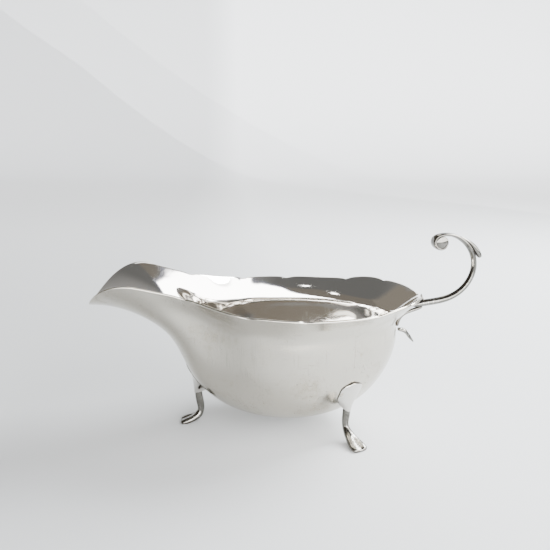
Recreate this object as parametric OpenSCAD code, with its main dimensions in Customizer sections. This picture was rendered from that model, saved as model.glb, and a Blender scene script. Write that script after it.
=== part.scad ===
// Small three-legged sauce boat: a raised bowl with a drooping lip, a flying scroll handle
// on a light bracket, and three cast legs with hoof feet under shield-shaped knees.

/* [Bowl] */
// From the bowl's middle to the tip of the pouring lip
spout_reach = 82.5; // [70:0.5:100]
// From the bowl's middle to the rim at the handle
rim_reach = 56.5; // [48:0.5:68]
// Half the width of the rim at its widest
rim_half_w = 37; // [30:0.5:44]
// Height of the rim above the table, halfway along
rim_h = 56.6; // [48:0.2:68]
// Height of the outside of the bottom above the table
bottom_h = 5.4; // [4:0.2:10]
// Half the width of the bowl below its flared rim
wall_half_w = 32; // [25:0.5:38]
// From the bowl's middle to its wall below the handle
wall_reach = 46.2; // [42:0.5:56]
// Thickness of the raised silver sheet
sheet = 0.9; // [0.7:0.05:1.4]
// How far the shaped rim is pinched in between two lobes
lobe_depth = 1.1; // [0:0.1:2]

/* [Handle] */
// From the bowl's middle to the outermost point of the handle
handle_reach = 82.5; // [74:0.5:100]
// Top of the handle above the table
handle_top = 82.6; // [72:0.2:100]
// Width of the handle's stem, across the boat
stem_w = 3.4; // [2.4:0.1:5]
// Thickness of the handle's stem, as seen from the side
stem_t = 2.5; // [1.8:0.1:4]
// From the handle's outermost point back to the middle of its rolled end
roll_back = 18.2; // [14:0.2:21]
// Radius of the rolled end of the scroll
volute_r = 3.3; // [2.4:0.1:4.5]
// Length of the rolled end, across the boat
volute_w = 6.4; // [4:0.2:9]
// Width of the bracket scroll under the rim
bracket_w = 2.2; // [1.6:0.1:3.2]
// Thickness of the bracket scroll
bracket_t = 1.5; // [1.2:0.1:2.4]

/* [Legs] */
// Angle of the two rear legs from the handle's direction
rear_leg_angle = 66; // [50:1:80]
// From the bowl's middle back to the point the rear legs spread from
rear_mid = 11.8; // [8:0.2:15]
// Height of the top of a knee shield above the table
knee_top = 26.8; // [23:0.2:32]
// Height of the foot of a knee shield above the table
knee_foot = 13.6; // [11.4:0.2:16.4]
// Width of a knee shield
knee_w = 10.5; // [8:0.5:14]
// Thickness of a knee shield
knee_t = 1.1; // [0.8:0.1:1.6]
// Thickness of a leg at its thinnest
shin_t = 2.7; // [2.2:0.1:4]
// Width of a hoof across its two toes
hoof_w = 7; // [5:0.5:9]
// How much further out the rear hoofs stand than the front one
rear_splay = 2.6; // [0:0.2:4]
// Solder film between a seated piece and the bowl
solder = 0.05; // [0.02:0.01:0.1]

/* [Hidden] */

half_stations = 16;
stations = 2*half_stations;
rings = 7;
steps_round = 3;
steps_down = 4;
middle = [(spout_reach - handle_reach)/2, 0, 0];

// The rim's outline, from the handle to the lip: reach, half width and height above or below
// the middle of the rim, the first two as shares of the named sizes.
rim_line = [
  [1.015, 0.00, -1.6], [0.965, 0.24, 0.5], [0.905, 0.43, 0.8], [0.800, 0.65, 1.6],
  [0.660, 0.79, 0.9], [0.500, 0.89, -0.6], [0.330, 0.94, -0.6], [0.160, 1.00, -0.4],
  [-0.03, 1.00, -0.1], [-0.14, 0.94, 0.3], [-0.27, 0.87, 0.8], [-0.40, 0.69, 2.8],
  [-0.53, 0.56, 5.9], [-0.67, 0.59, 8.6], [-0.81, 0.66, 12.4], [-0.945, 0.53, 6.6],
  [-1.030, 0.00, -4.8]];

function lerp(a, b, t) = a + (b - a)*t;
function smooth(t) = let (u = max(0, min(1, t))) u*u*(3 - 2*u);
function unit(v) = v/max(norm(v), 1e-9);

// Each ring below the rim: [rear reach, half width, front reach, rear z, side z, front z, nose,
// cheek]. nose is how far the ring follows the lip's outline instead of an oval, and cheek is
// how far it climbs with the sides of the lip.
neck = [wall_reach + 4, wall_half_w + 1.8, spout_reach - 8.5,
  rim_h - 4.5, rim_h - 5, rim_h - 2.3, 0.95, 0.75];
throat = [wall_reach + 0.2, wall_half_w - 0.8, spout_reach - 20.3,
  rim_h - 8.2, rim_h - 8.4, rim_h - 5.2, 0.85, 0.45];
wall = [wall_reach + 0.2, wall_half_w + 0.3, spout_reach - 33.8,
  rim_h - 17, rim_h - 16, rim_h - 14.5, 0.6, 0.15];
belly = [wall_reach - 2.4, wall_half_w - 1, spout_reach - 38.6,
  bottom_h + 22.6, bottom_h + 20.6, bottom_h + 20.2, 0.25, 0];
lower = [wall_reach - 13, wall_half_w - 10, spout_reach - 49,
  bottom_h + 6.6, bottom_h + 5.8, bottom_h + 7.6, 0, 0];
base = [wall_reach - 29, wall_half_w - 20, spout_reach - 63,
  bottom_h + 0.8, bottom_h + 0.8, bottom_h + 0.8, 0, 0];
levels = [neck, throat, wall, belly, lower, base];

function rim_point(i) = let (p = rim_line[i])
  [p[0]*(p[0] > 0 ? rim_reach : spout_reach), p[1]*rim_half_w, rim_h + p[2]];

function level_point(v, i) =
  let (a = 180*i/half_stations, rear = cos(a) > 0, p = rim_line[i])
  rear
    ? [v[0]*cos(a), v[1]*sin(a), lerp(v[4], v[3], smooth(cos(a)))]
    : let (x = lerp(-cos(a), -p[0], v[6]), y = lerp(sin(a), p[1], v[6]))
      [-v[2]*x, v[1]*y, lerp(v[4], v[5], smooth(-cos(a))) + v[7]*max(0, p[2])];

function ring_half(k) = [for (i = [0:half_stations])
  k == 0 ? rim_point(i) : level_point(levels[k - 1], i)];

halves = [for (k = [0:rings - 1]) ring_half(k)];
pole = [6, 0, bottom_h + 0.4];

// Station i runs all the way round, the boat's far side being the mirror of the near one.
function net(k, i) = k > rings - 1 ? pole
  : let (n = (i + stations) % stations, p = halves[k][n <= half_stations ? n : stations - n])
    n <= half_stations ? p : [p[0], -p[1], p[2]];
function net_row(k, i) = k < 0 ? 2*net(0, i) - net(1, i)
  : k > rings ? net(rings - 1, i + half_stations) : net(k, i);

// Weights of a uniform cubic B-spline
function weights(t) = [pow(1 - t, 3)/6, (3*t*t*t - 6*t*t + 4)/6,
  (-3*t*t*t + 3*t*t + 3*t + 1)/6, t*t*t/6];
function row_at(k, u) = let (i = floor(u), w = weights(u - i))
  w[0]*net_row(k, i - 1) + w[1]*net_row(k, i) + w[2]*net_row(k, i + 1) + w[3]*net_row(k, i + 2);
function smooth_wall(u, v) = let (k = min(floor(v), rings - 1), w = weights(v - k))
  w[0]*row_at(k - 1, u) + w[1]*row_at(k, u) + w[2]*row_at(k + 1, u) + w[3]*row_at(k + 2, u);

// The rim's lobes meet in small cusps at these stations, which fade out below the rim
cusps = [14/3, 23/3, 29/3, 12];
cusp_w = 0.28;
cusp_fade = 1.2;
function pinch(u) = let (n = (u + stations) % stations, m = min(n, stations - n))
  max([for (c = cusps) exp(-abs(m - c)/cusp_w)]);
function mid_surface(u, v) = let (p = smooth_wall(u, v), fade = pow(max(0, 1 - v/cusp_fade), 2))
  p - lobe_depth*fade*pinch(u)*[0, sign(p[1]), 0.5];
function normal_at(u, v) = let (d = 0.02, b = min(v, rings - 0.05),
    du = mid_surface(u + d, b) - mid_surface(u - d, b),
    dv = mid_surface(u, b + d) - mid_surface(u, max(b - d, 0)))
  unit(cross(dv, du));
function skin(u, v, out) = mid_surface(u, v) + out*normal_at(u, v);

module bowl() {
  around = stations*steps_round;
  down = rings*steps_down;
  function place(j, i, out) = skin(i/steps_round, j/steps_down, out);
  outer = [for (j = [0:down - 1]) for (i = [0:around - 1]) place(j, i, sheet/2)];
  inner = [for (j = [0:down - 1]) for (i = [0:around - 1]) place(j, i, -sheet/2)];
  n = around*down;
  poles = [pole - [0, 0, sheet/2], pole + [0, 0, sheet/2]];
  function at(j, i) = j*around + (i + around) % around;
  walls = [for (j = [0:down - 2]) for (i = [0:around - 1])
    each [[at(j, i), at(j, i + 1), at(j + 1, i)], [at(j, i + 1), at(j + 1, i + 1), at(j + 1, i)]]];
  linings = [for (f = walls) [f[0] + n, f[2] + n, f[1] + n]];
  edge = [for (i = [0:around - 1])
    each [[at(0, i), at(0, i) + n, at(0, i + 1)], [at(0, i + 1), at(0, i) + n, at(0, i + 1) + n]]];
  caps = [for (i = [0:around - 1]) let (a = at(down - 1, i), b = at(down - 1, i + 1))
    each [[a, b, 2*n], [b + n, a + n, 2*n + 1]]];
  color("silver") translate(middle)
    polyhedron(concat(outer, inner, poles), concat(walls, linings, edge, caps));
}

// A solid swept along a curve in an upright plane. rows holds one [reach, height, width,
// thickness, cleft, keel] per control point; place is [x, y, angle] of the plane.
function spread(rows, per) = let (n = len(rows) - 1,
    get = function (i) i < 0 ? 2*rows[0] - rows[1] : i > n ? 2*rows[n] - rows[n - 1] : rows[i])
  [for (j = [0:n*per]) let (i = min(floor(j/per), n - 1), w = weights(j/per - i))
    w[0]*get(i - 1) + w[1]*get(i) + w[2]*get(i + 1) + w[3]*get(i + 2)];

// One section, as [across, out] points: a soft-cornered oval with an optional cleft and keel.
function section(r, sides) = [for (k = [0:sides - 1])
  let (a = 360*(k + 0.5)/sides, c = cos(a), s = sin(a),
    across = r[2]/2*sign(c)*pow(abs(c), 0.8), out = r[3]/2*sign(s)*pow(abs(s), 0.8),
    mid = exp(-pow(across/(0.16*r[2]), 2)))
  [across, out*(1 - r[4]*mid) + (s > 0 ? r[5]*mid : 0)]];

module sweep(rows, per, sides, place = [0, 0, 0], floor_z = -1000) {
  path = spread(rows, per);
  n = len(path);
  function tangent(j) = let (a = path[max(j - 1, 0)], b = path[min(j + 1, n - 1)])
    unit([b[0] - a[0], b[1] - a[1]]);
  points = [for (j = [0:n - 1]) let (t = tangent(j), r = path[j]) for (q = section(r, sides))
    let (reach = r[0] - t[1]*q[1], z = r[1] + t[0]*q[1])
    [place[0] + reach*cos(place[2]) - q[0]*sin(place[2]),
     place[1] + reach*sin(place[2]) + q[0]*cos(place[2]), max(z, floor_z)]];
  walls = [for (j = [0:n - 2]) for (k = [0:sides - 1])
    let (a = j*sides + k, b = j*sides + (k + 1) % sides)
    each [[a, a + sides, b], [b, a + sides, b + sides]]];
  ends = [[for (k = [0:sides - 1]) k], [for (k = [sides - 1:-1:0]) (n - 1)*sides + k]];
  polyhedron(points, concat(walls, ends));
}

// Where the handle meets the bowl, under the rim
seat_v = 0.85;
function seat(v, thick) = skin(0, v, sheet/2 + solder + thick/2);
stem_root = seat(seat_v, stem_t);
// How far the middle of the stem's outermost and topmost parts lies inside the handle's outline
stem_inset = 2.9;
top_inset = 0.7;
stem_run = handle_reach - stem_inset - stem_root[0];
stem_rise = handle_top - top_inset - stem_root[2];
eye = [handle_reach - roll_back, handle_top - top_inset - volute_r];

// The scroll, each row as shares of its run and rise, then width and thickness shares
stem_line = [[0, 0, 1, 0.7], [0.16, 0.03, 1, 0.95], [0.40, 0.05, 0.95, 0.95], [0.66, 0.10, 0.9, 0.9],
  [0.87, 0.23, 0.85, 0.85], [1.00, 0.42, 0.85, 0.8], [1.02, 0.62, 0.9, 0.75], [0.94, 0.80, 0.9, 0.7],
  [0.78, 0.94, 0.95, 0.6], [0.60, 1.01, 1.1, 0.5]];
keel = 0.12*stem_t;
// The roll, each row an angle about the eye and a share of its radius
roll_line = [[95, 1.0], [140, 1.04], [185, 0.98], [230, 0.93], [275, 0.86], [320, 0.75], [5, 0.62]];
function stem_rows() = concat(
  [for (p = stem_line) [stem_root[0] + p[0]*stem_run, stem_root[2] + p[1]*stem_rise,
    stem_w*p[2], stem_t*p[3], 0, keel]],
  [for (k = [0:len(roll_line) - 1]) let (p = roll_line[k], g = (k + 1)/len(roll_line))
    [eye[0] + volute_r*p[1]*cos(p[0]), eye[1] + volute_r*p[1]*sin(p[0]),
     lerp(stem_w*1.1, volute_w, smooth(g*1.6)), stem_t*lerp(0.5, 0.62, g), 0, 0]]);

stem_steps = 4;
stem_path = spread(stem_rows(), stem_steps);
module handle_scroll() {
  color("silver") translate(middle) sweep(stem_rows(), stem_steps, 12);
}

// A point clear of the stem's outer side, beside step i of its path
function stem_side(i, off) = let (r = stem_path[i], a = stem_path[i - 1], b = stem_path[i + 1],
    t = unit([b[0] - a[0], b[1] - a[1]]), d = r[3]/2 + off)
  [r[0] + t[1]*d, r[1] - t[0]*d];

// A leaf that lies on the back of the scroll, from near its top down to a tip that lifts away
leaf_w = 3.6;
leaf_t = 2.0;
leaf_lift = 0.8;
leaf_drop = 10.7;
leaf_top_step = 33;
leaf_low_step = 25;
leaf_rows = [for (g = [0:0.2:1])
  let (t = leaf_t*lerp(0.25, 1, smooth(1.3*g)), off = t/2 + 2*solder + leaf_lift*pow(g, 5),
    p = stem_side(round(lerp(leaf_top_step, leaf_low_step, g)), off))
  [p[0], p[1], leaf_w*lerp(0.35, 1, smooth(2*g)), t, 0, 0.1]];
leaf_tip = [handle_reach, handle_top - leaf_drop, leaf_w*0.3, leaf_t*0.25, 0, 0];
module thumb_leaf() {
  color("silver") translate(middle) sweep(concat(leaf_rows, [leaf_tip]), 4, 10);
}

// A small leaf standing on the stem behind the rim's point, as reach past the rim, share of
// the way up from the stem, width and thickness
rim_leaf_line = [[1.9, 0, 2.4, 1.0], [1.2, 0.2, 2.2, 1.1], [1.0, 0.6, 1.7, 0.9], [0.9, 1, 0.6, 0.4]];
rim_leaf_top = rim_h - 0.4;
module rim_leaf() {
  foot = stem_side(4, 0)[1] + stem_t + 0.8;
  rows = [for (p = rim_leaf_line)
    [rim_reach + p[0], lerp(foot, rim_leaf_top, p[1]), p[2], p[3], 0, 0]];
  color("silver") translate(middle) sweep(rows, 3, 8);
}

// Thin scroll from the stem's underside down to the wall of the bowl
wall_top = seat(2.4, bracket_t);
wall_end = seat(2.72, bracket_t);
bracket_start = stem_side(4, 0.35*bracket_t + solder);
// Each row as shares of the way in and down from the stem to the wall, the drop that is added,
// and shares of its width and thickness
bracket_line = [[-0.15, 0, 0, 0.7, 0.6], [0.15, 0, 0.6, 1, 1], [0.55, 0, 1.8, 1, 1],
  [0.85, 0.55, 0, 1, 1], [1, 1, 0, 1, 1]];
bracket_rows = concat([for (p = bracket_line)
    [lerp(bracket_start[0], wall_top[0], p[0]), lerp(bracket_start[1], wall_top[2], p[1]) - p[2],
     bracket_w*p[3], bracket_t*p[4], 0, 0]],
  [[wall_end[0], wall_end[2], bracket_w, bracket_t, 0, 0]]);
module bracket_scroll() {
  color("silver") translate(middle) sweep(bracket_rows, 4, 10);
}

// Twisted sprig at the foot of the bracket, its tip free: reach out from the wall, drop, width
// and thickness
sprig_line = [[0.2, 0, 2.0, 1.3], [1.8, 0.3, 2.2, 1.2], [3.5, 0.7, 2.6, 1.7], [4.9, 2.8, 2.2, 1.2],
  [6.1, 4.3, 1.3, 1.0], [7.6, 6.2, 0.6, 0.5]];
sprig_top = wall_end[2] - 1.3;
module bracket_sprig() {
  rows = [for (p = sprig_line) [wall_end[0] + p[0], sprig_top - p[1], p[2], p[3], 0, 0]];
  color("silver") translate(middle) sweep(rows, 4, 8);
}

// Legs. Each stands in an upright plane at [x, y, angle], and the rear legs share one point.
front = [0, 0, 180];
rear_left = [rear_mid, 0, rear_leg_angle];
rear_right = [rear_mid, 0, -rear_leg_angle];
function halve(f, lo, hi, steps = 22) = steps == 0 ? (lo + hi)/2
  : let (m = (lo + hi)/2) f(m) > 0 ? halve(f, lo, m, steps - 1) : halve(f, m, hi, steps - 1);
// Where on the bowl's surface a height, or a leg's plane at a height, lies
function v_at(u, z) = halve(function (v) z - mid_surface(u, v)[2], 0.5, rings - 0.5);
function u_at(place, z) = place[2] == 180 ? half_stations
  : halve(function (u) let (p = mid_surface(u, v_at(u, z)))
      atan2(abs(p[1]), p[0] - place[0]) - abs(place[2]), 0, half_stations);
function side_u(place, u) = place[2] < 0 ? stations - u : u;
function reach_at(place, z) = let (u = u_at(place, z), p = skin(u, v_at(u, z), sheet/2))
  norm([p[0] - place[0], p[1]]);

// A hollow shield over the top of a leg, its edge seated on the bowl. Its middle stands out to
// the shin's outer face, knee_back short of the bowl's reach at its top.
knee_back = 0.9;
module knee(place) {
  rows = 12;
  cols = 12;
  m = cols + 1;
  r_top = reach_at(place, knee_top);
  dir = [cos(place[2]), sin(place[2]), 0];
  function half_w(t) = knee_w/2*(t < 0.3 ? sqrt(1 - 0.96*pow(1 - t/0.3, 2))
    : lerp(1, 0.62, smooth((t - 0.66)/0.34)));
  seat = [for (j = [0:rows]) let (t = j/rows, z = lerp(knee_top, knee_foot, t),
      u = side_u(place, u_at(place, z)), v = v_at(u, z),
      du = half_w(t)/norm(mid_surface(u + 0.5, v) - mid_surface(u - 0.5, v)))
    for (k = [0:cols]) skin(u + (2*k/cols - 1)*du, v, sheet/2 + solder)];
  rim_t = knee_t*0.4;
  out = [for (j = [0:rows]) let (t = j/rows, c = seat[j*m + cols/2],
      gap = max(r_top - knee_back - norm([c[0] - place[0], c[1]]), knee_t))
    for (k = [0:cols]) rim_t + (gap - rim_t)*pow(cos(90*(2*k/cols - 1)), lerp(0.6, 0.8, t))];
  inner = [for (i = [0:len(seat) - 1]) seat[i] + dir*max(out[i] - knee_t, 0)];
  outer = [for (i = [0:len(seat) - 1]) seat[i] + dir*out[i]];
  h = (rows + 1)*m;
  faces = concat(
    [for (j = [0:rows - 1]) for (k = [0:cols - 1]) let (a = j*m + k)
      each [[a, a + m, a + 1], [a + 1, a + m, a + m + 1],
            [a + h, a + 1 + h, a + m + h], [a + 1 + h, a + m + 1 + h, a + m + h]]],
    [for (j = [0:rows - 1]) let (a = j*m, b = j*m + cols)
      each [[a, a + h, a + m], [a + m, a + h, a + m + h], [b, b + m, b + h], [b + m, b + m + h, b + h]]],
    [for (k = [0:cols - 1]) let (b = rows*m + k)
      each [[k, k + 1, k + h], [k + 1, k + 1 + h, k + h], [b, b + h, b + 1], [b + 1, b + h, b + 1 + h]]]);
  polyhedron(concat(inner, outer), faces);
}

// Shin and hoof: [reach past the bowl at the knee's top, height as a share of the way up to the
// knee's foot, width, thickness share, cleft, keel]. A hoof's width is a share of hoof_w, and a
// shin's is a share of shin_t. The top rows lie between the wall and the inside of the knee.
shin_line = [[-4.0, 1.32, 0.7, 0.5, 0, 0], [-3.9, 1.19, 0.95, 0.85, 0, 0.1],
  [-3.9, 1, 1.0, 1.05, 0, 0.1], [-4.4, 0.78, 0.95, 1.15, 0, 0.4], [-4.7, 0.54, 0.95, 1.1, 0, 0.3],
  [-4.0, 0.31, 1.3, 1.15, 0.05, 0.2]];
hoof_line = [[-1.7, 0.14, 0.72, 1.15, 0.15, 0], [0.8, 0.08, 0.95, 1.1, 0.3, 0],
  [2.9, 0.06, 1.0, 0.95, 0.45, 0], [4.3, 0.03, 0.8, 0.55, 0.5, 0]];
module leg(place, splay) {
  r_top = reach_at(place, knee_top);
  inside = r_top - knee_back - knee_t - solder;
  function row(p, w) = let (z = p[1]*knee_foot, out = splay*smooth(1.15 - 1.9*p[1]),
      wall = p[1] < 0.95 ? 0 : reach_at(place, z) + 3*solder,
      t = min(p[3]*shin_t, max(inside - wall, 4*solder)), middle_reach = r_top + p[0] + out)
    [p[1] < 0.95 ? middle_reach : min(max(middle_reach, wall + t/2), inside - t/2),
     z, p[2]*w, t, p[4], p[5]];
  rows = concat([for (p = shin_line) row(p, shin_t)], [for (p = hoof_line) row(p, hoof_w)]);
  sweep(rows, 3, 16, place, 0);
}

module knee_front() { color("gainsboro") translate(middle) knee(front); }
module knee_rear_left() { color("gainsboro") translate(middle) knee(rear_left); }
module knee_rear_right() { color("gainsboro") translate(middle) knee(rear_right); }
module leg_front() { color("silver") translate(middle) leg(front, 0); }
module leg_rear_left() { color("silver") translate(middle) leg(rear_left, rear_splay); }
module leg_rear_right() { color("silver") translate(middle) leg(rear_right, rear_splay); }

bowl();
handle_scroll();
thumb_leaf();
rim_leaf();
bracket_scroll();
bracket_sprig();
knee_front();
knee_rear_left();
knee_rear_right();
leg_front();
leg_rear_left();
leg_rear_right();
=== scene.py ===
# %% [markdown]
# # A silver sauce boat on three hoof feet
# The real boat is a raised sheet of silver with cast pieces soldered to it. The measured model
# is loaded first as a fixed frame. Each of its plain solids is then replaced by a smoother
# piece of the same size, made here in metres in the same place.

# %% Load the measured frame
from math import atan2, cos, exp, pi, radians, sin
import bmesh
import bpy
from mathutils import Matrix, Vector
from mathutils.bvhtree import BVHTree


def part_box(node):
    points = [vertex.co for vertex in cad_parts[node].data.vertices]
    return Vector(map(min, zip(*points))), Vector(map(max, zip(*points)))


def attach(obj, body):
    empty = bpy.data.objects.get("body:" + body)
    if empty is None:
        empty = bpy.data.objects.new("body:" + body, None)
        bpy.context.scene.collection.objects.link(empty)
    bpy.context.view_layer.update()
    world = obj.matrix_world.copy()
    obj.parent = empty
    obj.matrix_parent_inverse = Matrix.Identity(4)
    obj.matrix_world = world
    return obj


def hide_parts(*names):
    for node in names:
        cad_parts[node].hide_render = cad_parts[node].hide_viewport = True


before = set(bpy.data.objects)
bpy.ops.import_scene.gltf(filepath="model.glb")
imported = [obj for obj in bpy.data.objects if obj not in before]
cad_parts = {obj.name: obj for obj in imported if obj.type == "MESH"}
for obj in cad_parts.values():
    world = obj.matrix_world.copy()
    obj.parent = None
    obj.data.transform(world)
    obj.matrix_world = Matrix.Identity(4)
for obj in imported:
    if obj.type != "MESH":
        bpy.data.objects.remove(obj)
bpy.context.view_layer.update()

mm = 0.001
print("pieces in the frame:", sorted(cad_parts))

# %% [markdown]
# ## The camera
# A camera that looks down a little sees both the outside of the bowl and into it. It is set
# before anything else.

# %% Place the camera
eye = bpy.data.cameras.new("viewer")
eye.lens = 37.31
eye.sensor_width = 36
camera = bpy.data.objects.new("viewer", eye)
camera.location = Vector((-24.73, -232.98, 119.66)) * mm
camera.rotation_euler = Vector((0.0772, 0.9712, -0.2253)).to_track_quat("-Z", "Y").to_euler()
bpy.context.scene.collection.objects.link(camera)
bpy.context.scene.camera = camera
print("camera at", tuple(round(c, 3) for c in camera.location))

# %% [markdown]
# ## Helpers for every piece
# A finished piece is a mesh whose vertices are where the piece is, on an object at the origin.
# One helper stores a bmesh as such an object and another adds smoothing. In a third, a plain
# straight bar with many rings is made first and each ring is then moved to its place: that is
# how a smith draws out and bends a bar, and it keeps clean four-sided faces for smoothing.


# %% Store and finish pieces
def piece_from(bm, name):
    mesh = bpy.data.meshes.new(name)
    bm.to_mesh(mesh)
    bm.free()
    piece = bpy.data.objects.new(name, mesh)
    bpy.context.scene.collection.objects.link(piece)
    return piece


def soften(piece, levels):
    smooth = piece.modifiers.new("smooth", "SUBSURF")
    smooth.levels = smooth.render_levels = levels
    piece.data.shade_smooth()


def settle(piece):
    bpy.context.view_layer.update()
    graph = bpy.context.evaluated_depsgraph_get()
    mesh = bpy.data.meshes.new_from_object(
        piece.evaluated_get(graph), preserve_all_data_layers=True, depsgraph=graph)
    mesh.name = piece.name
    piece.modifiers.clear()
    piece.data = mesh


def ease(t):
    t = max(0, min(1, t))
    return t * t * (3 - 2 * t)


def between(a, b, t):
    return a + (b - a) * t


# %% Draw a bar out along rows of reach, height, width, thickness, cleft and keel
def drawn_bar(name, rows, spot=(0, 0, 0), sides=12, levels=2, floor=None):
    bm = bmesh.new()
    bmesh.ops.create_circle(bm, cap_ends=True, segments=sides, radius=1)
    ring = list(bm.edges)
    for step in range(1, len(rows)):
        grown = bmesh.ops.extrude_edge_only(bm, edges=ring)
        fresh = [g for g in grown["geom"] if isinstance(g, bmesh.types.BMVert)]
        ring = [g for g in grown["geom"] if isinstance(g, bmesh.types.BMEdge)
                and all(v in fresh for v in g.verts)]
        bmesh.ops.translate(bm, verts=fresh, vec=(0, 0, 1))
    bmesh.ops.contextual_create(bm, geom=ring)
    x0, y0, turn = spot[0], spot[1], radians(spot[2])
    shrink = 3 / (2 + cos(2 * pi / sides))
    last = len(rows) - 1
    for v in bm.verts:
        step = round(v.co.z)
        a, b = rows[max(step - 1, 0)], rows[min(step + 1, last)]
        along = Vector((b[0] - a[0], b[1] - a[1])).normalized()
        reach, height, width, thick, cleft, keel = rows[step]
        c, s = v.co.x, v.co.y
        across = width / 2 * shrink * (abs(c) ** 0.8) * (1 if c > 0 else -1)
        out = thick / 2 * shrink * (abs(s) ** 0.8) * (1 if s > 0 else -1)
        middle = exp(-(c / 0.3) ** 2)
        flank = exp(-((abs(c) - 0.7) / 0.2) ** 2)
        out = out * (1 - cleft * middle) + (keel * (middle - 0.6 * flank) if s > 0 else 0)
        r = reach - along.y * out
        z = height + along.x * out
        if floor is not None:
            z = max(z, floor)
        v.co = Vector((x0 + r * cos(turn) - across * sin(turn),
                       y0 + r * sin(turn) + across * cos(turn), z)) * mm
    bmesh.ops.recalc_face_normals(bm, faces=bm.faces)
    piece = piece_from(bm, name)
    soften(piece, levels)
    return piece


# %% [markdown]
# ## The bowl
# The real bowl is one sheet, hammered up from a flat disc and pulled out into a lip. It could
# be sculpted, but a smith thinks in rings, so a plain tube of seven rings is made first. Every
# ring is then shaped by its reach towards the handle and the lip, its half width and its
# heights, and smoothing turns the rings into one flowing sheet.

# %% The rim's outline in 17 stations, from the handle to the lip, in millimetres
rim = [(57.3, 0, 55.0), (54.5, 8.9, 57.1), (51.1, 15.9, 57.4), (45.2, 24.1, 58.2),
       (37.3, 29.2, 57.5), (28.3, 32.9, 56.0), (18.6, 34.8, 56.0), (9.0, 37.0, 56.2),
       (-2.5, 37.0, 56.5), (-11.6, 34.8, 56.9), (-22.3, 32.2, 57.4), (-33.0, 25.5, 59.4),
       (-43.7, 20.7, 62.5), (-55.3, 21.8, 65.2), (-66.8, 24.4, 69.0), (-78.0, 19.6, 63.2),
       (-85.0, 0, 51.8)]
# Reach to the handle, half width, reach to the lip, height at the handle, side and lip, how
# far the ring follows the lip's outline, how far it climbs with the sides of the lip, and how
# far it draws in at the neck
rings = [(50.8, 33.3, 74.0, 52.3, 51.8, 54.0, 0.95, 0.75, -0.01),
         (45.0, 31.2, 62.2, 47.1, 46.9, 51.4, 0.85, 0.3, 0.07),
         (46.4, 32.3, 48.7, 39.6, 40.6, 42.1, 0.6, 0.15, 0.07),
         (43.8, 31.0, 43.9, 28.0, 26.0, 25.6, 0.25, 0, 0),
         (33.2, 22.0, 33.5, 12.0, 11.2, 13.0, 0, 0, 0),
         (17.2, 12.0, 19.5, 6.2, 6.2, 6.2, 0, 0, 0)]
rim_middle = 56.6
spout_reach = 82.5
rim_half_width = 37.0
neck_at = -57
neck_spread = 14
sheet = 0.9
half_turn = len(rim) - 1


def ring_point(level, station, side):
    x, y, z = rim[station]
    if level == 0:
        return (x, y * side, z)
    rear, half, front, rear_z, side_z, front_z, nose, cheek, neck = rings[level - 1]
    turn = pi * station / half_turn
    if cos(turn) > 1e-6:
        z = between(side_z, rear_z, ease(cos(turn)))
        return (rear * cos(turn), half * sin(turn) * side, z)
    along = between(-cos(turn), -x / spout_reach, nose)
    out = between(sin(turn), y / rim_half_width, nose)
    climb = cheek * max(0, z - rim_middle)
    out *= 1 - neck * exp(-((x - neck_at) / neck_spread) ** 2)
    z = between(side_z, front_z, ease(-cos(turn))) + climb
    return (-front * along, half * out * side, z)


# %% Raise the bowl from a tube of rings
bm = bmesh.new()
bmesh.ops.create_circle(bm, cap_ends=False, segments=2 * half_turn, radius=1)
edge = list(bm.edges)
for level in range(len(rings)):
    grown = bmesh.ops.extrude_edge_only(bm, edges=edge)
    fresh = [g for g in grown["geom"] if isinstance(g, bmesh.types.BMVert)]
    edge = [g for g in grown["geom"] if isinstance(g, bmesh.types.BMEdge)
            and all(v in fresh for v in g.verts)]
    bmesh.ops.translate(bm, verts=fresh, vec=(0, 0, -1))
floor_face = bmesh.ops.contextual_create(bm, geom=edge)["faces"]
bmesh.ops.poke(bm, faces=floor_face)
upper = bm.verts.layers.deform.verify()
bottom = Vector((6, 0, 5.8))
ring_level = {v: -round(v.co.z) for v in bm.verts}
for v, level in ring_level.items():
    if v.co.xy.length < 0.5:
        v.co = bottom * mm
        continue
    station = round(atan2(abs(v.co.y), v.co.x) / (pi / half_turn))
    if level == 0:
        v[upper][0] = 1
    v.co = Vector(ring_point(level, station, 1 if v.co.y > 0 else -1)) * mm
print("rings below the rim:", len(rings))

# %% Tighten the bend under the flared rim
flare = bm.edges.layers.float.new("crease_edge")
for e in bm.edges:
    if all(ring_level[v] == 2 for v in e.verts):
        middle = sum(v.co.x for v in e.verts) / 2 / mm
        e[flare] = 0.35 * ease((middle + 22) / 22)
bmesh.ops.recalc_face_normals(bm, faces=bm.faces)
lowest = min(bm.faces, key=lambda f: f.calc_center_median().z)
if lowest.normal.z > 0:
    bmesh.ops.reverse_faces(bm, faces=bm.faces)
bowl = piece_from(bm, "bowl_sheet")
bowl.vertex_groups.new(name="rim")
soften(bowl, 3)
settle(bowl)
print("bowl sheet faces:", len(bowl.data.polygons))

# %% [markdown]
# ## The shaped rim
# The rim was filed into lobes that meet in small cusps. The sheet is fine enough by now to
# pull a few vertices in beside each cusp, less and less further down the wall.

# %% Pinch the rim between its lobes
cusps = [46.5, 30.8, 2.2, -18.8, -43.0]
cusp_depth = 1.5
cusp_spread = 1.8
bm = bmesh.new()
bm.from_mesh(bowl.data)
upper = bm.verts.layers.deform.verify()
for v in bm.verts:
    near_rim = v[upper].get(0, 0)
    pinch = max(exp(-abs(v.co.x / mm - c) / cusp_spread) for c in cusps)
    pull = cusp_depth * mm * pinch * near_rim ** 2
    v.co.y -= pull * (1 if v.co.y > 0 else -1)
    v.co.z -= pull * 0.5
bm.to_mesh(bowl.data)
bm.free()
sheet_mesh = bowl.data.copy()
print("cusps on each side:", len(cusps))

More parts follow.
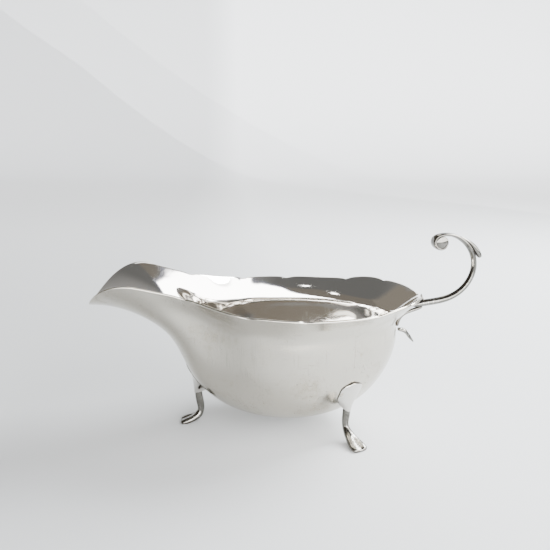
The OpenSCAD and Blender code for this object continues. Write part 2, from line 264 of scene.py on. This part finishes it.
# %% Give the sheet its thickness and a rounded rim
wall = bowl.modifiers.new("sheet", "SOLIDIFY")
wall.thickness = sheet * mm
wall.offset = 0
wall.use_even_offset = True
wall.material_offset = 1
wall.material_offset_rim = 0
edge_round = bowl.modifiers.new("burnished rim", "BEVEL")
edge_round.width = 0.28 * mm
edge_round.segments = 2
edge_round.limit_method = "ANGLE"
edge_round.angle_limit = radians(50)
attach(bowl, "root")
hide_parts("bowl")
print("bowl wall:", sheet, "mm")


# %% [markdown]
# ## Finding the wall
# The knees and legs are fitted to the bowl as the smith fitted them: by trying them against
# the wall. A ray is shot at the sheet from outside, and where it lands is the wall.

# %% Feel for the wall from outside
sheet_bm = bmesh.new()
sheet_bm.from_mesh(sheet_mesh)
wall_tree = BVHTree.FromBMesh(sheet_bm)
sheet_bm.free()
rear_middle = 11.8
spots = {"front": (0, 0, 180), "rear_left": (rear_middle, 0, 66),
         "rear_right": (rear_middle, 0, -66)}


def wall_reach(spot, across, height):
    x0, y0, turn = spot[0], spot[1], radians(spot[2])
    out = Vector((cos(turn), sin(turn), 0))
    side = Vector((-sin(turn), cos(turn), 0))
    start = Vector((x0, y0, height)) * mm + side * across * mm + out * 0.1
    hit = wall_tree.ray_cast(start, -out)[0]
    return ((hit - start).dot(out) + 0.1) / mm + sheet / 2


knee_top = 26.8
knee_foot = 13.6
knee_reach = {name: wall_reach(spot, 0, knee_top) for name, spot in spots.items()}
print("wall at the knees' top, mm:", {k: round(v, 1) for k, v in knee_reach.items()})

# %% [markdown]
# ## Knee shields
# Each cast leg ends in a shield-shaped plate that spreads its pull over the thin sheet. A
# small grid is laid against the wall point by point, and its middle is raised until it meets
# the shin, so the plate's edge always hugs the bowl.

# %% Shape a knee shield
knee_half = 5.25
knee_lift = 1.1
plate_thick = 0.7
solder = 0.05


def knee_half_width(t):
    if t < 0.3:
        return knee_half * max(0.05, 1 - 0.96 * (1 - t / 0.3) ** 2) ** 0.5
    return knee_half * between(1, 0.62, ease((t - 0.66) / 0.34))


def knee_shield(name, spot, top_reach):
    bm = bmesh.new()
    bmesh.ops.create_grid(bm, x_segments=12, y_segments=12, size=1)
    turn = radians(spot[2])
    for v in bm.verts:
        s, t = v.co.x, (1 - v.co.y) / 2
        across = s * knee_half_width(t)
        height = between(knee_top, knee_foot + 2.8 * s * s, t)
        seat = wall_reach(spot, across, height)
        stand_out = top_reach - between(0.9, 1.9, ease(t)) - wall_reach(spot, 0, height)
        arch = max(0, cos(s * pi / 2)) ** between(0.6, 0.8, t)
        reach = seat + solder + between(0.44, max(stand_out, knee_lift), arch)
        v.co = Vector((spot[0] + reach * cos(turn) - across * sin(turn),
                       spot[1] + reach * sin(turn) + across * cos(turn), height)) * mm
    bmesh.ops.recalc_face_normals(bm, faces=bm.faces)
    out = Vector((cos(turn), sin(turn), 0))
    if sum((f.normal.dot(out) for f in bm.faces)) < 0:
        bmesh.ops.reverse_faces(bm, faces=bm.faces)
    piece = piece_from(bm, name)
    plate = piece.modifiers.new("plate", "SOLIDIFY")
    plate.thickness = plate_thick * mm
    plate.offset = -1
    rounded = piece.modifiers.new("edge", "BEVEL")
    rounded.width = 0.25 * mm
    rounded.segments = 2
    rounded.limit_method = "ANGLE"
    rounded.angle_limit = radians(50)
    soften(piece, 1)
    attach(piece, "root")
    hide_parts("knee_" + name.split("_", 1)[1])
    return piece


knees = [knee_shield("shield_" + n, spots[n], knee_reach[n]) for n in spots]
print("knee shields:", [k.name for k in knees])

# %% [markdown]
# ## Legs
# A leg is a cast bar in an S curve that ends in a two-toed hoof. It is drawn out row by row:
# how far it stands from the bowl, how high, how wide and how thick it is there, and how deep
# the cleft between the toes is.

# %% Shape the legs
shin = 2.7
hoof = 7.0
rear_splay = 2.6
leg_rows = [(-4.0, 18.0, 0.8 * shin, 0.5 * shin, 0, 0),
            (-3.9, 16.0, 1.05 * shin, 0.9 * shin, 0, 0.2),
            (-3.9, 13.4, 1.2 * shin, 1.1 * shin, 0, 0.3),
            (-4.4, 10.4, 1.1 * shin, 1.15 * shin, 0, 0.5),
            (-4.9, 7.4, 0.98 * shin, 1.0 * shin, 0, 0.5),
            (-4.8, 5.4, 1.0 * shin, 0.95 * shin, 0, 0.3),
            (-4.0, 3.7, 1.45 * shin, 1.2 * shin, 0.05, 0.2),
            (-2.0, 2.2, 0.74 * hoof, 1.2 * shin, 0.2, 0),
            (0.6, 1.3, 0.95 * hoof, 1.1 * shin, 0.35, 0),
            (2.9, 0.8, 1.0 * hoof, 0.95 * shin, 0.5, 0),
            (4.3, 0.4, 0.8 * hoof, 0.55 * shin, 0.6, 0)]
inside_knee = 12.6
leg_clear = 0.15


def cast_leg(name, spot, top_reach, splay):
    rows = []
    for reach, height, width, thick, cleft, keel in leg_rows:
        stand = top_reach + reach + splay * ease((8 - height) / 7)
        if height > inside_knee:
            stand = max(stand, wall_reach(spot, 0, height) + thick / 2 + leg_clear)
        rows.append((stand, height, width, thick, cleft, keel))
    piece = drawn_bar(name, rows, spot, sides=16, levels=2, floor=0)
    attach(piece, "root")
    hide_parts(name)
    return piece


legs = [cast_leg("leg_" + n, spots[n], knee_reach[n], 0 if n == "front" else rear_splay)
        for n in spots]
print("legs:", [leg.name for leg in legs])

# %% [markdown]
# ## The flying scroll handle
# The handle is a cast bar with a ridge along its back. It runs out level from the rim, curls
# up and over, and ends in a broad roll. It is drawn out like the legs, from a list of where
# the bar goes and how wide and thick it is there.

# %% Draw the scroll and its roll
low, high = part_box("handle_scroll")
stem = 3.7
stem_thick = 2.8
handle_reach = 82.5
handle_top = 82.6
root = (53.0, 51.0)
run = handle_reach - 2.9 - root[0]
rise = handle_top - 0.7 - root[1]
# Each row: shares of the run and the rise, then of the stem's width and thickness
scroll = [(0, 0, 1, 0.7), (0.16, 0.03, 1, 0.95), (0.40, 0.05, 0.95, 0.95), (0.66, 0.10, 0.9, 0.9),
          (0.87, 0.23, 0.85, 0.85), (1.00, 0.42, 0.85, 0.8), (1.02, 0.62, 0.9, 0.75),
          (0.94, 0.80, 0.9, 0.7), (0.78, 0.94, 0.95, 0.6), (0.60, 1.01, 1.1, 0.5)]
# Each turn of the roll: an angle about its eye and a share of its radius
roll = [(95, 1.0), (140, 1.04), (185, 0.98), (230, 0.93), (275, 0.86), (320, 0.75), (5, 0.62)]
roll_radius = 3.3
roll_width = 6.4
roll_eye = (handle_reach - 18.2, handle_top - 0.7 - roll_radius)
scroll_rows = [(root[0] + a * run, root[1] + b * rise, stem * w, stem_thick * t, 0, 0.3)
               for a, b, w, t in scroll]
for step, (angle, share) in enumerate(roll):
    g = (step + 1) / len(roll)
    scroll_rows.append((roll_eye[0] + roll_radius * share * cos(radians(angle)),
                        roll_eye[1] + roll_radius * share * sin(radians(angle)),
                        between(stem * 1.1, roll_width, ease(g * 1.6)),
                        stem_thick * between(0.5, 0.62, g), 0, 0))
handle = drawn_bar("scroll", scroll_rows, levels=2)
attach(handle, "root")
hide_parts("handle_scroll")
print("handle, mm:", [round(c / mm, 1) for c in low], [round(c / mm, 1) for c in high])

# %% [markdown]
# The roll at the end of the scroll is closed by a small domed button on each side. A circle
# is extruded across the roll and its ends are drawn in step by step, so that the light slides
# over them as it does over a polished boss.

# %% Close the roll with a domed button
domes = ((0.25, 1.8), (0.55, 2.7), (1.0, 3.0), (5.4, 3.0), (5.85, 2.7), (6.15, 1.8), (6.4, 0.6))
bm = bmesh.new()
bmesh.ops.create_circle(bm, cap_ends=True, segments=24, radius=0.6)
edge = list(bm.edges)
for across, radius in domes:
    grown = bmesh.ops.extrude_edge_only(bm, edges=edge)
    fresh = [g for g in grown["geom"] if isinstance(g, bmesh.types.BMVert)]
    edge = [g for g in grown["geom"] if isinstance(g, bmesh.types.BMEdge)
            and all(v in fresh for v in g.verts)]
    for v in fresh:
        v.co = Vector((v.co.x, v.co.y, 0)).normalized() * radius + Vector((0, 0, across))
bmesh.ops.contextual_create(bm, geom=edge)
for v in bm.verts:
    v.co = Vector((roll_eye[0] + v.co.x, v.co.z - roll_width / 2, roll_eye[1] + v.co.y)) * mm
bmesh.ops.recalc_face_normals(bm, faces=bm.faces)
button = piece_from(bm, "roll_button")
soften(button, 2)
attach(button, "root")
print("roll button, mm wide:", roll_width)

# %% [markdown]
# ## Leaves, bracket and sprig
# Small cast ornaments hide the places where solder holds the handle. A leaf lies along the
# outside of the scroll for the thumb, a second one stands behind the rim's point, a thin
# bracket runs down to the bowl, and a twisted sprig ends it.


# %% Follow the outside of the scroll
def beside(step, off):
    a, b, here = scroll_path[step - 1], scroll_path[step + 1], scroll_path[step]
    along = Vector((b[0] - a[0], b[1] - a[1])).normalized()
    away = here[3] / 2 + off
    return here[0] + along.y * away, here[1] - along.x * away


def flowing(rows, per):
    path, n = [], len(rows) - 1

    def row(i):
        if i < 0:
            return [2 * a - b for a, b in zip(rows[0], rows[1])]
        if i > n:
            return [2 * a - b for a, b in zip(rows[n], rows[n - 1])]
        return rows[i]

    for step in range(n * per + 1):
        i = min(step // per, n - 1)
        t = step / per - i
        weight = ((1 - t) ** 3 / 6, (3 * t ** 3 - 6 * t * t + 4) / 6,
                  (-3 * t ** 3 + 3 * t * t + 3 * t + 1) / 6, t ** 3 / 6)
        path.append([sum(w * row(i - 1 + k)[j] for k, w in enumerate(weight)) for j in range(4)])
    return path


scroll_path = flowing(scroll_rows, 4)
print("points along the scroll:", len(scroll_path))

# %% Shape the thumb leaf and the leaf at the rim
leaf_rows = []
for step in range(6):
    g = step / 5
    thick = 2.0 * between(0.25, 1.1, ease(1.3 * g))
    at = beside(round(between(33, 25, g)), thick / 2 - 0.3 + 0.9 * g ** 6)
    leaf_rows.append((*at, 3.6 * between(0.35, 1, ease(2 * g)), thick, 0, 0.25))
leaf_rows.append((82.4, 72.0, 1.6, 0.9, 0, 0))
thumb_leaf = drawn_bar("leaf_thumb", leaf_rows, sides=12)
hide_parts("thumb_leaf")
rim_leaf = drawn_bar("leaf_rim", [
    (58.4, 53.4, 2.4, 1.0, 0, 0.1), (57.7, 54.0, 2.2, 1.1, 0, 0.1),
    (57.5, 55.1, 1.7, 0.9, 0, 0.1), (57.4, 56.2, 0.6, 0.4, 0, 0)], sides=8)
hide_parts("rim_leaf")
print("leaves:", [thumb_leaf.name, rim_leaf.name])

# %% Shape the bracket and its sprig
low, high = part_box("bracket_scroll")
bracket = drawn_bar("bracket", [
    (58.4, 50.3, 1.5, 0.9, 0, 0), (55.6, 49.4, 2.2, 1.5, 0, 0.1), (51.5, 48.2, 2.2, 1.5, 0, 0.1),
    (48.6, 46.6, 2.2, 1.5, 0, 0.1), (47.3, 43.2, 2.2, 1.5, 0, 0.1),
    (47.2, 41.7, 2.2, 1.5, 0, 0)], sides=8)
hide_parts("bracket_scroll")
sprig_root = (47.4, 40.4)
sprig_rows = [(0.2, 0, 2.4, 1.6), (1.6, -0.3, 2.8, 1.5), (3.2, -0.6, 3.4, 2.2),
              (4.4, -2.0, 2.2, 1.2), (5.4, -3.4, 2.6, 1.6), (6.5, -4.8, 1.4, 1.0),
              (7.7, -6.3, 0.6, 0.5)]
sprig = drawn_bar("sprig", [(sprig_root[0] + x, sprig_root[1] + z, w, t, 0.1, 0.2)
                            for x, z, w, t in sprig_rows], sides=8)
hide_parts("bracket_sprig")
trims = [thumb_leaf, rim_leaf, bracket, sprig]
for piece in trims:
    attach(piece, "root")
print("bracket, mm:", [round(c / mm, 1) for c in low], [round(c / mm, 1) for c in high])

# %% [markdown]
# ## Floor and light
# Polished silver shows its surroundings, so the room matters as much as the metal. A pale
# sheet of paper that curves up behind the boat fills the outside with a quiet reflection, a
# wide window in front and to the right lights the inside, and a dim ceiling gives the lip
# its grey. A lamp high up behind makes the soft shadow.

# %% A paper sweep
floor_half = 1.6
bend = 0.7
bend_steps = 8
bm = bmesh.new()
bmesh.ops.create_grid(bm, x_segments=1, y_segments=1, size=floor_half)
back = [e for e in bm.edges if all(v.co.y > 1 for v in e.verts)]
for step in range(bend_steps):
    turn = radians(90 * (step + 1) / bend_steps)
    grown = bmesh.ops.extrude_edge_only(bm, edges=back)
    fresh = [g for g in grown["geom"] if isinstance(g, bmesh.types.BMVert)]
    back = [g for g in grown["geom"] if isinstance(g, bmesh.types.BMEdge)
            and all(v in fresh for v in g.verts)]
    for v in fresh:
        v.co.y, v.co.z = floor_half + bend * sin(turn), bend * (1 - cos(turn))
grown = bmesh.ops.extrude_edge_only(bm, edges=back)
bmesh.ops.translate(bm, verts=[g for g in grown["geom"] if isinstance(g, bmesh.types.BMVert)],
                    vec=(0, 0, 0.1))
bmesh.ops.recalc_face_normals(bm, faces=bm.faces)
paper = piece_from(bm, "paper_sweep")
paper.data.shade_smooth()
print("paper sweep made")


# %% A high lamp behind the boat's right shoulder
def soft_light(name, spot, aim, size, power, tint):
    lamp = bpy.data.lights.new(name, "AREA")
    lamp.shape = "RECTANGLE"
    lamp.size, lamp.size_y = size
    lamp.energy = power
    lamp.color = tint
    holder = bpy.data.objects.new(name, lamp)
    holder.location = spot
    holder.rotation_euler = (Vector(aim) - Vector(spot)).to_track_quat("-Z", "Y").to_euler()
    bpy.context.scene.collection.objects.link(holder)


soft_light("high lamp", (0.50, 0.24, 0.58), (0, 0, 0), (0.38, 0.38), 16, (0.95, 0.985, 1))
print("lamp set")

# %% [markdown]
# The rest of the room is painted into the world by direction. Two angles are read from the
# direction of view: a bearing, counted from the handle's side, and a climb above the horizon.
# Soft-edged patches between such angles are then laid over each other: dim walls, a ceiling,
# a wide bright window in front, a bright wall to the right, a bright opening behind, and two
# small ceiling lamps. Only reflections and the light see this room. Looked at directly it is
# plain and pale.

# %% An empty room
room = bpy.data.worlds.new("room")
bpy.context.scene.world = room
room.use_nodes = True
tree = room.node_tree
tree.nodes.clear()
print("world:", room.name)


# %% Tools for sums, fades and blends
def maths(tree, kind, first, second=None, third=None):
    node = tree.nodes.new("ShaderNodeMath")
    node.operation = kind
    for slot, value in enumerate((first, second, third)):
        if value is None:
            continue
        if isinstance(value, (int, float)):
            node.inputs[slot].default_value = value
        else:
            tree.links.new(value, node.inputs[slot])
    return node.outputs[0]


def fade(tree, value, low, high, to_low=0.0, to_high=1.0):
    node = tree.nodes.new("ShaderNodeMapRange")
    node.interpolation_type = "SMOOTHSTEP"
    node.inputs["From Min"].default_value = low
    node.inputs["From Max"].default_value = high
    node.inputs["To Min"].default_value = to_low
    node.inputs["To Max"].default_value = to_high
    tree.links.new(value, node.inputs["Value"])
    return node.outputs["Result"]


def blend(tree, factor, first, second):
    node = tree.nodes.new("ShaderNodeMix")
    node.data_type = "RGBA"
    for socket, value in (("Factor_Float", factor), ("A_Color", first), ("B_Color", second)):
        target = next(i for i in node.inputs if i.identifier == socket)
        if isinstance(value, (int, float, tuple)):
            target.default_value = value
        else:
            tree.links.new(value, target)
    return next(o for o in node.outputs if o.identifier == "Result_Color")


# %% Two angles from the direction of view
where = tree.nodes.new("ShaderNodeTexCoord")
split = tree.nodes.new("ShaderNodeSeparateXYZ")
tree.links.new(where.outputs["Generated"], split.inputs[0])
bearing = maths(tree, "ARCTAN2", split.outputs["Y"], split.outputs["X"])
climb = maths(tree, "ARCSINE", split.outputs["Z"])
print("angles read: bearing and climb")


# %% Tools for patches of the room
def spread(value, low, high, soft):
    up = fade(tree, value, radians(low - soft), radians(low + soft))
    down = fade(tree, value, radians(high - soft), radians(high + soft), 1, 0)
    return maths(tree, "MULTIPLY", up, down)


def window_shape(grown):
    lean = maths(tree, "MULTIPLY_ADD", bearing, 0.75, maths(tree, "MULTIPLY", climb, -1))
    left = fade(tree, lean, radians(-105 - grown), radians(-102.5 - grown))
    level = maths(tree, "MULTIPLY_ADD", bearing, -0.12, climb)
    sill_to_top = spread(level, 10 - grown, 55.5 + grown, 1.5)
    across = maths(tree, "MULTIPLY", left, fade(tree, bearing, radians(-4), radians(4), 1, 0))
    return maths(tree, "MULTIPLY", across, sill_to_top)


# %% Paint the ceiling and the walls
far_side = maths(tree, "MULTIPLY", split.outputs["Y"], 0.77)
bright_side = maths(tree, "MULTIPLY_ADD", split.outputs["X"], 0.64, far_side)
ceiling_tint = blend(tree, fade(tree, bright_side, -0.25, 0.35),
                     (0.165, 0.165, 0.16, 1), (0.36, 0.355, 0.345, 1))
wall_tint = blend(tree, spread(bearing, 88, 168, 5), (0.22, 0.20, 0.17, 1), (0.29, 0.262, 0.22, 1))
wall_tint = blend(tree, spread(bearing, 50, 90, 5), wall_tint, (0.62, 0.61, 0.59, 1))
room_tint = blend(tree, fade(tree, climb, radians(45), radians(50)), wall_tint, ceiling_tint)
room_tint = blend(tree, window_shape(3), room_tint, (0.26, 0.275, 0.36, 1))
bright_wall = maths(tree, "MULTIPLY", spread(bearing, 2, 58, 5), spread(climb, 14, 48, 3))
room_tint = blend(tree, bright_wall, room_tint, (2.6, 2.5, 2.25, 1))
doorway = maths(tree, "MULTIPLY", spread(bearing, 78, 92, 2), spread(climb, 28, 60, 2))
room_tint = blend(tree, doorway, room_tint, (4.2, 4.1, 3.8, 1))
print("walls and ceiling painted")

# %% Light the window and the lamps
daylight = window_shape(0)
ceiling_lamps = ((-100, 57), (-128, 46))
for turn, height in ceiling_lamps:
    glow = spread(bearing, turn - 4, turn + 4, 1)
    lit = maths(tree, "MULTIPLY", glow, spread(climb, height - 1.5, height + 1.5, 1))
    daylight = maths(tree, "ADD", daylight, lit)
path = tree.nodes.new("ShaderNodeLightPath")
shine = 14
spill = 0.7
strength = fade(tree, path.outputs["Is Diffuse Ray"], 0, 1, shine, spill)
daylight = maths(tree, "MULTIPLY", daylight, strength)
unseen = maths(tree, "SUBTRACT", 1, path.outputs["Is Camera Ray"])
daylight = maths(tree, "MULTIPLY", daylight, unseen)
room_tint = blend(tree, path.outputs["Is Camera Ray"], room_tint, (1.75, 1.8, 1.84, 1))
print("ceiling lamps:", len(ceiling_lamps))

# %% Join the room to the world
sky = tree.nodes.new("ShaderNodeBackground")
day = tree.nodes.new("ShaderNodeBackground")
both = tree.nodes.new("ShaderNodeAddShader")
out = tree.nodes.new("ShaderNodeOutputWorld")
day.inputs["Color"].default_value = (1.0, 0.995, 0.985, 1)
tree.links.new(room_tint, sky.inputs["Color"])
tree.links.new(daylight, day.inputs["Strength"])
tree.links.new(sky.outputs[0], both.inputs[0])
tree.links.new(day.outputs[0], both.inputs[1])
tree.links.new(both.outputs[0], out.inputs["Surface"])
print("room painted")

# %% [markdown]
# ## Finishes
# Silver is a bright, warm metal. What makes it look handled is fine: hairline scratches that
# blur the reflections, a wavy surface left by the hammer, and a brown-grey film of tarnish
# where a cloth doesn't reach. Each of these is a small node group, built once and used in
# every finish with its own values.


# %% Tools for node groups
def new_group(name, inputs, outputs):
    group = bpy.data.node_groups.new(name, "ShaderNodeTree")
    for label, value in inputs:
        socket = group.interface.new_socket(label, in_out="INPUT", socket_type="NodeSocketFloat")
        socket.default_value = value
    for label in outputs:
        group.interface.new_socket(label, in_out="OUTPUT", socket_type="NodeSocketFloat")
    return group, group.nodes.new("NodeGroupInput"), group.nodes.new("NodeGroupOutput")


def place_group(tree, group, **values):
    node = tree.nodes.new("ShaderNodeGroup")
    node.node_tree = group
    for label, value in values.items():
        node.inputs[label].default_value = value
    return node


def cloud(tree, vector, scale, detail=3.0, stretch=None, turn=None):
    if stretch or turn:
        shape = tree.nodes.new("ShaderNodeMapping")
        shape.inputs["Scale"].default_value = stretch or (1, 1, 1)
        shape.inputs["Rotation"].default_value = turn or (0, 0, 0)
        tree.links.new(vector, shape.inputs["Vector"])
        vector = shape.outputs["Vector"]
    node = tree.nodes.new("ShaderNodeTexNoise")
    node.inputs["Detail"].default_value = detail
    if isinstance(scale, (int, float)):
        node.inputs["Scale"].default_value = scale
    else:
        tree.links.new(scale, node.inputs["Scale"])
    tree.links.new(vector, node.inputs["Vector"])
    return node.outputs["Fac"]


# %% Hairline scratches
hairlines, given, gives = new_group("hairlines", [("Scale", 1.0), ("Cover", 0.5)], ["Lines"])
spot = hairlines.nodes.new("ShaderNodeTexCoord").outputs["Object"]
scaled = hairlines.nodes.new("ShaderNodeVectorMath")
scaled.operation = "SCALE"
hairlines.links.new(spot, scaled.inputs[0])
hairlines.links.new(given.outputs["Scale"], scaled.inputs["Scale"])
strands = []
for turn, stretch in (((0.3, 0.2, 0.1), (2600, 2600, 60)), ((1.2, 0.4, 0.9), (2100, 70, 2100)),
                      ((0.5, 1.1, 2.0), (80, 2400, 2400)), ((0.9, 2.2, 0.4), (1500, 1500, 40))):
    grain = cloud(hairlines, scaled.outputs[0], 1.0, 1.0, stretch, turn)
    strands.append(fade(hairlines, grain, 0.64, 0.72))
total = strands[0]
for strand in strands[1:]:
    total = maths(hairlines, "MAXIMUM", total, strand)
patchy = fade(hairlines, cloud(hairlines, scaled.outputs[0], 90, 2.0), 0.35, 0.65)
covered = maths(hairlines, "MULTIPLY", patchy, given.outputs["Cover"])
total = maths(hairlines, "MULTIPLY", total, covered)
hairlines.links.new(total, gives.inputs["Lines"])
print("hairlines:", len(hairlines.nodes), "nodes")

# %% A film of tarnish
film, given, gives = new_group("tarnish film", [("Scale", 60.0), ("Cover", 0.5)],
                               ["Mask", "Specks"])
spot = film.nodes.new("ShaderNodeTexCoord").outputs["Object"]
broad = cloud(film, spot, given.outputs["Scale"], 5.0)
fine = cloud(film, spot, maths(film, "MULTIPLY", given.outputs["Scale"], 9.0), 3.0)
mixed = maths(film, "ADD", maths(film, "MULTIPLY", broad, 0.75),
              maths(film, "MULTIPLY", fine, 0.25))
start = maths(film, "SUBTRACT", 0.75, maths(film, "MULTIPLY", given.outputs["Cover"], 0.5))
above = maths(film, "SUBTRACT", mixed, start)
film.links.new(fade(film, above, 0.0, 0.25), gives.inputs["Mask"])
film.links.new(fade(film, fine, 0.66, 0.74), gives.inputs["Specks"])
print("tarnish film:", len(film.nodes), "nodes")

# %% The mark of the hammer
planish, given, gives = new_group("planished", [("Scale", 70.0)], ["Height"])
spot = planish.nodes.new("ShaderNodeTexCoord").outputs["Object"]
slow = cloud(planish, spot, given.outputs["Scale"], 1.0)
quick = cloud(planish, spot, maths(planish, "MULTIPLY", given.outputs["Scale"], 4.0), 1.0)
planish.links.new(maths(planish, "ADD", slow, maths(planish, "MULTIPLY", quick, 0.12)),
                  gives.inputs["Height"])
print("planished:", len(planish.nodes), "nodes")


# %% [markdown]
# One recipe makes all the silver. It takes the clean and the tarnished colour, how much of the
# film there is and how fine it is, how blurred the clean and the tarnished metal reflect, how
# many hairlines there are and their colour, how wavy the surface is, and how dark the hollows
# are painted, as tarnish and painted shade, and how far that reaches in millimetres.


# %% A recipe for silver
def silver(name, clean, dull, cover, grain, gloss, film_gloss, lines, line_tint, wave, hollow_darkening,
           reach):
    finish = bpy.data.materials.new(name)
    finish.use_nodes = True
    tree = finish.node_tree
    shader = tree.nodes["Principled BSDF"]
    shader.inputs["Metallic"].default_value = 1
    stain = place_group(tree, film, Scale=grain, Cover=cover)
    scratch = place_group(tree, hairlines, Scale=1.0, Cover=lines)
    hammer = place_group(tree, planish, Scale=70.0)
    tint = blend(tree, stain.outputs["Mask"], clean, dull)
    tint = blend(tree, maths(tree, "MULTIPLY", scratch.outputs["Lines"], 0.5), tint, line_tint)
    tint = blend(tree, maths(tree, "MULTIPLY", stain.outputs["Specks"], 0.25), tint, dull)
    # Hollows and joints are painted darker: partly tarnish that gathers there, partly painted
    # shade where less light reaches
    hollow = tree.nodes.new("ShaderNodeAmbientOcclusion")
    hollow.inputs["Distance"].default_value = reach * mm
    hollow.samples = 8
    deep = fade(tree, hollow.outputs["AO"], 0.45, 0.92, 1, 0)
    hollow_tarnish_and_shade = maths(tree, "MULTIPLY", deep, hollow_darkening)
    tint = blend(tree, hollow_tarnish_and_shade, tint, (0.10, 0.085, 0.07, 1))
    tree.links.new(tint, shader.inputs["Base Color"])
    rough = maths(tree, "MULTIPLY_ADD", stain.outputs["Mask"], film_gloss - gloss, gloss)
    rough = maths(tree, "MULTIPLY_ADD", scratch.outputs["Lines"], 0.12, rough)
    rough = maths(tree, "MULTIPLY_ADD", hollow_tarnish_and_shade, 0.3, rough)
    tree.links.new(rough, shader.inputs["Roughness"])
    height = maths(tree, "MULTIPLY_ADD", hammer.outputs["Height"], wave,
                   maths(tree, "MULTIPLY", scratch.outputs["Lines"], -0.004))
    bump = tree.nodes.new("ShaderNodeBump")
    bump.inputs["Distance"].default_value = 1.0 * mm
    bump.inputs["Strength"].default_value = 1.0
    tree.links.new(height, bump.inputs["Height"])
    tree.links.new(bump.outputs["Normal"], shader.inputs["Normal"])
    return finish


# %% Silver in four finishes, the outside and the cast pieces partly darkened by painted shade
dark_line, pale_line = (0.20, 0.185, 0.16, 1), (0.95, 0.94, 0.92, 1)
# The outside's clean colour is darker than the inside's: partly tarnish, partly painted shade for
# the dimmer room it reflects
outside = silver("silver_outside_tarnish_and_shade", clean=(0.525, 0.50, 0.44, 1), dull=(0.40, 0.365, 0.295, 1),
                 cover=0.5, grain=55.0, gloss=0.20, film_gloss=0.32, lines=0.7,
                 line_tint=dark_line, wave=0.25, hollow_darkening=0.8, reach=1.6)
inside = silver("silver_inside", clean=(0.86, 0.84, 0.81, 1), dull=(0.66, 0.61, 0.53, 1),
                cover=0.3, grain=55.0, gloss=0.06, film_gloss=0.14, lines=0.4,
                line_tint=pale_line, wave=0.12, hollow_darkening=0.5, reach=1.6)
knee_silver = silver("silver_knees", clean=(0.60, 0.585, 0.55, 1), dull=(0.22, 0.20, 0.17, 1),
                     cover=0.35, grain=160.0, gloss=0.12, film_gloss=0.26, lines=0.5,
                     line_tint=dark_line, wave=0.2, hollow_darkening=0.97, reach=1.6)
# The cast pieces are painted dark: painted shade for the shadowed floor and underside of the bowl
# that they reflect
cast = silver("silver_cast_painted_shade", clean=(0.16, 0.154, 0.14, 1), dull=(0.04, 0.035, 0.028, 1),
              cover=0.5, grain=210.0, gloss=0.10, film_gloss=0.28, lines=0.5,
              line_tint=pale_line, wave=0.2, hollow_darkening=0.97, reach=2.6)
bowl.data.materials.clear()
bowl.data.materials.append(outside)
bowl.data.materials.append(inside)
for group, finish in ((knees, knee_silver), (legs + trims + [handle, button], cast)):
    for piece in group:
        piece.data.materials.clear()
        piece.data.materials.append(finish)
print("silver:", outside.name, inside.name, knee_silver.name, cast.name)

# %% [markdown]
# The paper is a matt, cool white with faint clouds in it. Painted shade darkens its colour
# towards the lip's end, where less lamp light arrives, and painted light lifts it further back.

# %% Pale paper
paper_finish = bpy.data.materials.new("paper")
paper_finish.use_nodes = True
tree = paper_finish.node_tree
shader = tree.nodes["Principled BSDF"]
spot = tree.nodes.new("ShaderNodeTexCoord").outputs["Object"]
axes = tree.nodes.new("ShaderNodeSeparateXYZ")
tree.links.new(spot, axes.inputs[0])
pale = blend(tree, cloud(tree, spot, 2.0, 4.0), (0.77, 0.795, 0.82, 1), (0.79, 0.81, 0.83, 1))
# Painted shade and light: darker towards the lip's end, a little lighter further back
painted_light_and_shade = maths(tree, "ADD", fade(tree, axes.outputs["X"], -0.13, 0.10, 0.60, 1.0),
               fade(tree, axes.outputs["Y"], 0.1, 0.6, 0, 0.12))
tree.links.new(blend(tree, painted_light_and_shade, (0, 0, 0, 1), pale), shader.inputs["Base Color"])
shader.inputs["Roughness"].default_value = 0.75
paper.data.materials.append(paper_finish)
print("paper:", paper_finish.name)
